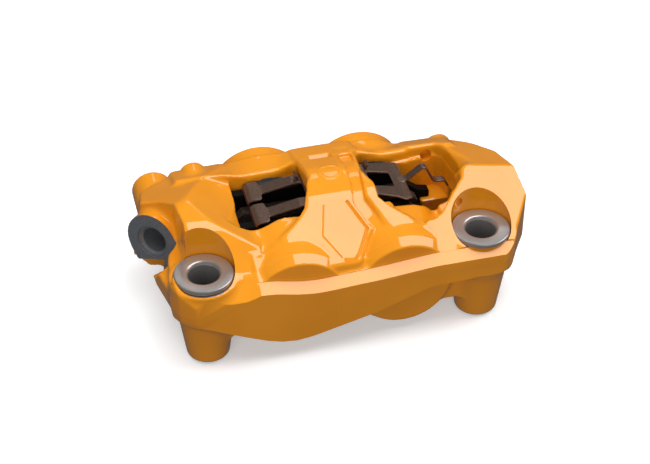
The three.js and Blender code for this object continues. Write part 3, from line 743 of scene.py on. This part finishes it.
def panel_cutters():
    """The strip, the flat outer face, and the crease and groove that frame the sloping panel."""
    crease = scribe_mesh([(-4.3, -15.2), (-7.0, -24.6), (-1.9, -32.2)], 0.6, 0.35)
    groove = scribe_mesh([(4.0, -14.9), (9.1, -24.5), (4.4, -31.6), (2.4, -33.6), (-1.4, -33.1)], 1.3, 0.75)
    face = prism_mesh(rectangle((-60, 62), (FRONT - 5, FRONT)), -5, ABOVE)
    return [place(strip_cutter(), "cut_strip"), place(face, "cut_outer"), place(crease, "cut_crease"),
            place(groove, "cut_groove")]


def hole_cutters():
    """Bolt and pin holes, the hose, bleed and plug ports, and the cylinder bores."""
    cutters = []
    bush_hole = [(0, -5), (BUSH_R, -5), (BUSH_R, BUSH_END), (BUSH_HOLE_R, BUSH_END), (BUSH_HOLE_R, BUSH_SEAT),
                 (BUSH_RECESS_R, BUSH_SEAT), (BUSH_RECESS_R, ABOVE), (0, ABOVE)]
    for bolt in BOLTS:
        cutters.append(turned(bush_hole, 96, "cut_bolt", (bolt[0], bolt[1], 0), (0, 0, 1)))

    pin_r, head_r, beyond = 2.2, 3.1, 40
    pin_hole = [(0, -15.8), (pin_r, -15.8), (pin_r, PIN_SEAT), (head_r, PIN_SEAT), (head_r, beyond),
                (0, beyond)]
    cutters.append(turned(pin_hole, 48, "cut_pin", (PIN[0], 0, PIN[2])))
    for x, z, start, end in ((-PIN[0], PIN[2], -24, -11), (42.6, 38.4, 10, 18)):
        cutters.append(turned(rod(pin_r, start, end), 48, "cut_hole", (x, 0, z)))

    cutters.append(hose_face_cutter())
    end = -HOSE_PORT_DEPTH
    hose_port = [(0, end), (4.0, end), (4.7, end + 1), (4.7, -1.3), (5.5, -0.5), (6.3, -0.5), (6.5, 1),
                 (0, 1)]
    cutters.append(turned(hose_port, 96, "cut_hose", HOSE_FACE, HOSE_AXIS))
    for name, port, r, start, segments in PORTS:
        cutters.append(turned(rod(r, start, beyond), segments, name, (port[0], 0, port[2])))

    bore = [(0, 12), (BORE_R, 12), (BORE_R, 15.3), (DUST_GROOVE_R, 15.3), (DUST_GROOVE_R, 17.8),
            (BORE_R, 17.8), (BORE_R, 21.3), (SEAL_GROOVE_R, 21.3), (SEAL_GROOVE_R, 24.5), (BORE_R, 24.5),
            (BORE_R, BORE_END), (0, BORE_END)]
    for piston in PISTONS:
        for side in (-1, 1):
            cutters.append(turned(bore, 96, "cut_bore", (piston[0], 0, piston[2]), (0, side, 0)))
    return cutters


def make_body():
    field = hollows(relief(casting()))
    body = mesh_from_field(field, "body_casting")
    face_outward(body)
    cutters = hole_cutters() + panel_cutters()
    for cutter in cutters:
        face_outward(cutter)
    cut_with(body, cutters)
    return body


# ---- Materials -----------------------------------------------------------------------------


def srgb(r, g, b):
    out = []
    for c in (r, g, b):
        c /= 255
        out.append(c / 12.92 if c <= 0.04045 else ((c + 0.055) / 1.055) ** 2.4)
    return tuple(out)


def new_material(name, roughness, metallic=0.0, coat=0.0, specular=0.5, coat_roughness=0.05):
    material = bpy.data.materials.new(name)
    material.use_nodes = True
    shader = material.node_tree.nodes["Principled BSDF"]
    shader.inputs["Roughness"].default_value = roughness
    shader.inputs["Metallic"].default_value = metallic
    shader.inputs["Coat Weight"].default_value = coat
    shader.inputs["Coat Roughness"].default_value = coat_roughness
    shader.inputs["Specular IOR Level"].default_value = specular
    return material, material.node_tree, shader


def link(tree, a, b):
    tree.links.new(a, b)


def position(tree, scale):
    coordinates = tree.nodes.new("ShaderNodeTexCoord")
    mapping = tree.nodes.new("ShaderNodeMapping")
    mapping.inputs["Scale"].default_value = scale
    link(tree, coordinates.outputs["Object"], mapping.inputs["Vector"])
    return mapping.outputs["Vector"]


def noise(tree, scale, detail, stretch=(1, 1, 1)):
    node = tree.nodes.new("ShaderNodeTexNoise")
    node.inputs["Scale"].default_value = scale
    node.inputs["Detail"].default_value = detail
    link(tree, position(tree, stretch), node.inputs["Vector"])
    return node.outputs["Fac"]


def ramp(tree, fac, stops):
    node = tree.nodes.new("ShaderNodeValToRGB")
    elements = node.color_ramp.elements
    while len(elements) < len(stops):
        elements.new(0.5)
    for element, (at, colour) in zip(elements, stops):
        element.position = at
        element.color = (*colour, 1)
    link(tree, fac, node.inputs["Fac"])
    return node.outputs["Color"]


def bump(tree, shader, height, strength, distance=0.0002):
    node = tree.nodes.new("ShaderNodeBump")
    node.inputs["Strength"].default_value = strength
    node.inputs["Distance"].default_value = distance
    link(tree, height, node.inputs["Height"])
    link(tree, node.outputs["Normal"], shader.inputs["Normal"])


def two_tones(tree, shader, fac, tones):
    """Colours a shader between two tones."""
    link(tree, ramp(tree, fac, [(0.3, tones[0]), (0.7, tones[1])]), shader.inputs["Base Color"])


def vary(tree, shader, socket, fac, low, high):
    node = tree.nodes.new("ShaderNodeMapRange")
    node.inputs["To Min"].default_value = low
    node.inputs["To Max"].default_value = high
    link(tree, fac, node.inputs["Value"])
    link(tree, node.outputs["Result"], shader.inputs[socket])


def enamel():
    """Thick gloss enamel: a faint orange-peel skin, and colour that drifts slightly over the casting."""
    material, tree, shader = new_material("orange_enamel", 0.4, coat=1.0, specular=0.1, coat_roughness=0.03)
    colour = ramp(tree, noise(tree, 45, 2), [(0.35, srgb(234, 146, 22)), (0.65, srgb(240, 152, 26))])
    link(tree, colour, shader.inputs["Base Color"])
    bump(tree, shader, noise(tree, 700, 2), 0.035)
    shader.inputs["Coat IOR"].default_value = 1.8
    return material


def metal(name, tones, roughness, grain, stretch=(1, 1, 1), strength=0.15, metallic=0.8):
    material, tree, shader = new_material(name, sum(roughness) / 2, metallic)
    speckle = noise(tree, grain, 4, stretch)
    two_tones(tree, shader, speckle, tones)
    vary(tree, shader, "Roughness", noise(tree, grain * 0.4, 3, stretch), *roughness)
    bump(tree, shader, speckle, strength, 0.00005)
    return material


def turned_metal(name, tones, roughness, centre_mm, strength):
    """Metal faced on a lathe: fine rings about an upright axis through centre_mm."""
    ring_pitch = 0.16 * MM
    material, tree, shader = new_material(name, sum(roughness) / 2, 0.8)
    coordinates = tree.nodes.new("ShaderNodeTexCoord")
    shift = tree.nodes.new("ShaderNodeVectorMath")
    shift.operation = "SUBTRACT"
    shift.inputs[1].default_value = [c * MM for c in centre_mm]
    link(tree, coordinates.outputs["Object"], shift.inputs[0])
    flat = tree.nodes.new("ShaderNodeVectorMath")
    flat.operation = "MULTIPLY"
    flat.inputs[1].default_value = (1, 1, 0)
    link(tree, shift.outputs["Vector"], flat.inputs[0])
    length = tree.nodes.new("ShaderNodeVectorMath")
    length.operation = "LENGTH"
    link(tree, flat.outputs["Vector"], length.inputs[0])
    rings = tree.nodes.new("ShaderNodeTexNoise")
    rings.noise_dimensions = "1D"
    rings.inputs["Scale"].default_value = 1 / ring_pitch
    rings.inputs["Detail"].default_value = 2
    link(tree, length.outputs["Value"], rings.inputs["W"])
    two_tones(tree, shader, rings.outputs["Fac"], tones)
    vary(tree, shader, "Roughness", noise(tree, 300, 3), *roughness)
    bump(tree, shader, rings.outputs["Fac"], strength, 0.00004)
    return material


def rubber(name, tones, grain=600):
    material, tree, shader = new_material(name, 0.75, specular=0.3)
    speckle = noise(tree, grain, 5)
    two_tones(tree, shader, speckle, tones)
    bump(tree, shader, speckle, 0.2)
    return material


def friction():
    """Sintered compound: dark grey with coppery specks and open pores."""
    material, tree, shader = new_material("sintered_compound", 0.9, 0.2)
    speckle = noise(tree, 1800, 6)
    stops = [(0.35, srgb(38, 34, 32)), (0.55, srgb(62, 54, 50)), (0.72, srgb(120, 84, 58))]
    link(tree, ramp(tree, speckle, stops), shader.inputs["Base Color"])
    bump(tree, shader, speckle, 0.5)
    return material


ENAMEL = enamel()
MACHINED = metal("machined_alloy", (srgb(128, 131, 137), srgb(146, 149, 155)), (0.34, 0.44), 1400,
                 strength=0.08, metallic=0.6)
BUSH_TONES = (srgb(176, 172, 171), srgb(206, 202, 200))
BUSHES = [turned_metal(f"turned_steel_{i}", BUSH_TONES, (0.26, 0.32), bolt, 0.12)
          for i, bolt in enumerate(BOLTS)]
ANODISED = metal("hard_anodised", (srgb(52, 53, 57), srgb(74, 75, 80)), (0.28, 0.4), 1600, strength=0.1)
SPRING = metal("tempered_spring_steel", (srgb(112, 90, 78), srgb(140, 116, 102)), (0.3, 0.44), 900,
               (1, 3, 1), 0.2)
PIN_METAL = metal("pin_steel", (srgb(96, 88, 82), srgb(122, 112, 104)), (0.28, 0.4), 1200, (1, 0.1, 1), 0.2)
PLATED = metal("zinc_plate", (srgb(150, 150, 145), srgb(182, 181, 172)), (0.28, 0.42), 700, strength=0.15)
BACKING = metal("painted_backing", (srgb(9, 8, 7), srgb(16, 14, 13)), (0.6, 0.8), 1100, strength=0.3,
                metallic=0.0)
BACKING.node_tree.nodes["Principled BSDF"].inputs["Specular IOR Level"].default_value = 0.15
SEAL = rubber("seal_rubber", (srgb(18, 18, 20), srgb(30, 30, 32)))
CAP = rubber("cap_rubber", (srgb(24, 24, 25), srgb(36, 36, 37)), 900)
COMPOUND = friction()


def dress(obj, *materials):
    """Puts the materials in the object's slots."""
    while len(obj.material_slots) < len(materials):
        obj.data.materials.append(None)
    for slot, material in zip(obj.material_slots, materials):
        slot.material = material


# ---- Assembly ------------------------------------------------------------------------------


def polygon_table(mesh):
    centres = np.empty(len(mesh.polygons) * 3)
    normals = np.empty(len(mesh.polygons) * 3)
    mesh.polygons.foreach_get("center", centres)
    mesh.polygons.foreach_get("normal", normals)
    return centres.reshape(-1, 3) / MM, normals.reshape(-1, 3)


def mark_machined(obj):
    """Gives the bare machined faces of the casting the second material."""
    c, n = polygon_table(obj.data)
    level, near = 0.98, 0.03
    hose_face_r, hose_port_r = 13.1, 6.6
    bare = c[:, 2] < 0.02
    rel = c - HOSE_FACE
    out = rel @ HOSE_AXIS
    across = np.linalg.norm(rel - out[:, None] * HOSE_AXIS, axis=1)
    bare |= (np.abs(out) < near) & (across < hose_face_r) & (n @ HOSE_AXIS > level)
    bare |= (out < near) & (out > -HOSE_PORT_DEPTH - 0.1) & (across < hose_port_r)
    for bolt in BOLTS:
        r = np.hypot(c[:, 0] - bolt[0], c[:, 1] - bolt[1])
        bare |= (r < BUSH_HOLE_R + 0.1) & (c[:, 2] < BUSH_SEAT + 0.1)
        bare |= (r < BUSH_RECESS_R + 0.05) & (np.abs(c[:, 2] - BUSH_SEAT) < near) & (n[:, 2] > level)
    for piston in PISTONS:
        r = np.hypot(c[:, 0] - piston[0], c[:, 2] - piston[2])
        depth = np.abs(c[:, 1])
        bare |= (r < SEAL_GROOVE_R + 0.1) & (depth > CAVITY_HALF_WIDTH + 0.05) & (depth < BORE_END + 0.02)
    for _, port, port_r, start, _ in PORTS:
        r = np.hypot(c[:, 0] - port[0], c[:, 2] - port[2])
        bare |= (r < port_r + 0.1) & (c[:, 1] > start - 0.1)
    obj.data.polygons.foreach_set("material_index", bare.astype(np.int32))


def add_piece(obj, body, slot, *replaced):
    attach(obj, body)
    if replaced:
        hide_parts(*replaced)


def on_circle(r, degrees):
    return [(r * math.cos(math.radians(a)), r * math.sin(math.radians(a))) for a in degrees]


def make_pin():
    """The pad pin, with a round head sunk in its boss and a hexagon socket."""
    tip = span("pad_pin")[0][1]
    seat, end = PIN_SEAT + 0.1, 22.8
    profile = [(0, tip), (1.4, tip), (1.9, tip + 0.8), (1.9, seat), (2.6, seat), (2.9, PIN_SEAT + 0.4),
               (2.9, end - 0.4), (2.6, end), (0, end)]
    pin = turned(profile, 48, "pin", (PIN[0], 0, PIN[2]))
    corners = on_circle(1.7, range(0, 360, 60))
    socket = place(prism_mesh(corners, 20.2, 24), "cut_socket", (PIN[0], 0, PIN[2]), (0, 1, 0))
    face_outward(pin)
    face_outward(socket)
    cut_with(pin, [socket])
    return pin


def make_plate(node):
    """A backing plate with softened edges, its ear round the pin and a small shoulder at the far end."""
    low, high = span(node)
    ear = [(PIN[0] + x, PIN[2] + z) for x, z in on_circle(3.0, range(60, 271, 15))]
    outline = [(-38.2, 7.5), (-34.2, 3.5), (34.2, 3.5), (38.2, 7.5), (38.2, 24.4), (42.3, 24.4),
               (42.3, 27.0), (38.2, 28.0), (31, 33.6), (28.5, 38.5), (-35.2, 38.5), *ear, (-38.2, 37.3)]
    bm = prism_mesh(outline, -high[1], -low[1])
    bmesh.ops.recalc_face_normals(bm, faces=bm.faces)
    rims = [e for e in bm.edges if abs(e.verts[0].co.z - e.verts[1].co.z) < 1e-6]
    bmesh.ops.bevel(bm, geom=rims, offset=0.3, segments=2, affect="EDGES")
    bmesh.ops.rotate(bm, matrix=Matrix.Rotation(math.radians(90), 3, "X"), verts=bm.verts)
    plate = place(bm, node.replace("pad_plate", "backing"))
    hole = turned(rod(2.05, -20, 20), 48, "cut_ear", (PIN[0], 0, PIN[2]))
    face_outward(plate)
    face_outward(hole)
    cut_with(plate, [hole])
    return plate


def make_bush(hand, bolt):
    """A flanged ring with a rounded mouth and a sleeve that goes down the bolt hole."""
    top, flange = BUSH_TOP, BUSH_TOP - 1.6
    profile = [(BUSH_R, flange - 10), (6.7, flange - 10), (6.9, flange - 9.8), (6.9, flange),
               (10.2, flange), (10.4, flange + 0.2), (10.4, top - 0.45), (10.3, top - 0.2), (10.05, top),
               (6.5, top), (6.3, top - 0.05), (5.9, top - 0.35), (5.55, top - 0.9), (BUSH_R, top - 1.3)]
    return place(lathe(profile, 128), f"bush_{hand}", (bolt[0], bolt[1], 0))


body = make_body()
shade(body)
dress(body, ENAMEL, MACHINED)
mark_machined(body)
add_piece(body, "caliper", "orange_paint", "caliper_body")

for hand, bolt, finish in zip(("left", "right"), BOLTS, BUSHES):
    bush = make_bush(hand, bolt)
    shade(bush, 25)
    dress(bush, finish)
    add_piece(bush, "caliper", "bush_steel", f"mount_bush_{hand}")

spring = mesh_from_field(spring_field(), "spring_sheet")
face_outward(spring)
shade(spring, 40)
dress(spring, SPRING)
add_piece(spring, "caliper", "bronzed_spring_steel", "pad_spring")

pin = make_pin()
shade(pin, 30)
dress(pin, PIN_METAL)
add_piece(pin, "caliper", "pin_steel", "pad_pin")
for side in ("front", "rear"):
    plate = make_plate(f"pad_plate_{side}")
    shade(plate, 40)
    dress(plate, BACKING)
    add_piece(plate, f"pad_{side}", "black_backing_plate", f"pad_plate_{side}")

FINISHES = {
    "bleed_screw": PLATED, "bleed_cap": CAP, "gallery_plug": PLATED, "pad_lining_front": COMPOUND,
    "pad_lining_rear": COMPOUND,
}
for name, node in nodes.items():
    if name in FINISHES:
        dress(node, FINISHES[name])
    elif name.startswith("piston_"):
        dress(node, ANODISED)
    elif "_seal_" in name:
        dress(node, SEAL)

# ---- Floor and light -----------------------------------------------------------------------


def add_area(name, location, target, size, energy):
    data = bpy.data.lights.new(name, "AREA")
    data.shape = "RECTANGLE"
    data.size, data.size_y = size
    data.energy = energy
    obj = bpy.data.objects.new(name, data)
    scene.collection.objects.link(obj)
    obj.location = location
    obj.rotation_euler = (Vector(location) - Vector(target)).to_track_quat("Z", "Y").to_euler()
    return obj


floor_bm = bmesh.new()
bmesh.ops.create_grid(floor_bm, x_segments=8, y_segments=8, size=3.0)
floor_mesh = bpy.data.meshes.new("floor")
floor_bm.to_mesh(floor_mesh)
floor_bm.free()
floor = bpy.data.objects.new("floor", floor_mesh)
scene.collection.objects.link(floor)
floor.location = (0, 0, -0.0005)
floor_material, _, floor_shader = new_material("floor_pale", 0.95, specular=0.0)
floor_shader.inputs["Base Color"].default_value = (0.88, 0.88, 0.88, 1)
floor_shader.inputs["Emission Color"].default_value = (1, 1, 1, 1)
floor_shader.inputs["Emission Strength"].default_value = 0.3
floor_mesh.materials.append(floor_material)
floor.visible_diffuse = False
floor.visible_glossy = False

# A white surround for the camera, and a dim one for everything that it lights.
world = bpy.data.worlds.new("world")
scene.world = world
world.use_nodes = True
surround = world.node_tree.nodes["Background"]
surround.inputs["Color"].default_value = (1, 1, 1, 1)
seen_by_camera = world.node_tree.nodes.new("ShaderNodeLightPath")
strength = world.node_tree.nodes.new("ShaderNodeMapRange")
strength.inputs["To Min"].default_value = 0.10
strength.inputs["To Max"].default_value = 1.0
link(world.node_tree, seen_by_camera.outputs["Is Camera Ray"], strength.inputs["Value"])
link(world.node_tree, strength.outputs["Result"], surround.inputs["Strength"])
scene.view_settings.view_transform = "Standard"
scene.view_settings.look = "None"

# One wide softbox overhead and to the right, and a broad fill from the front that leaves no reflection.
add_area("softbox", (1.25, -0.02, 1.0), (1.25, -0.02, 0), (2.4, 0.80), 15.0)
for name, location, size, energy in (("front_fill", (-0.30, -1.1, 0.55), (1.3, 0.8), 8.0),
                                     ("top_fill", (-0.2, 0.1, 1.3), (1.4, 1.4), 14.0)):
    add_area(name, location, (0, 0, 0.02), size, energy).visible_glossy = False
# A small one behind, for the sheen on level turned faces.
add_area("rear_sheen", (0.23, 0.86, 0.78), (0.02, -0.02, 0.04), (0.34, 0.22), 0.3)
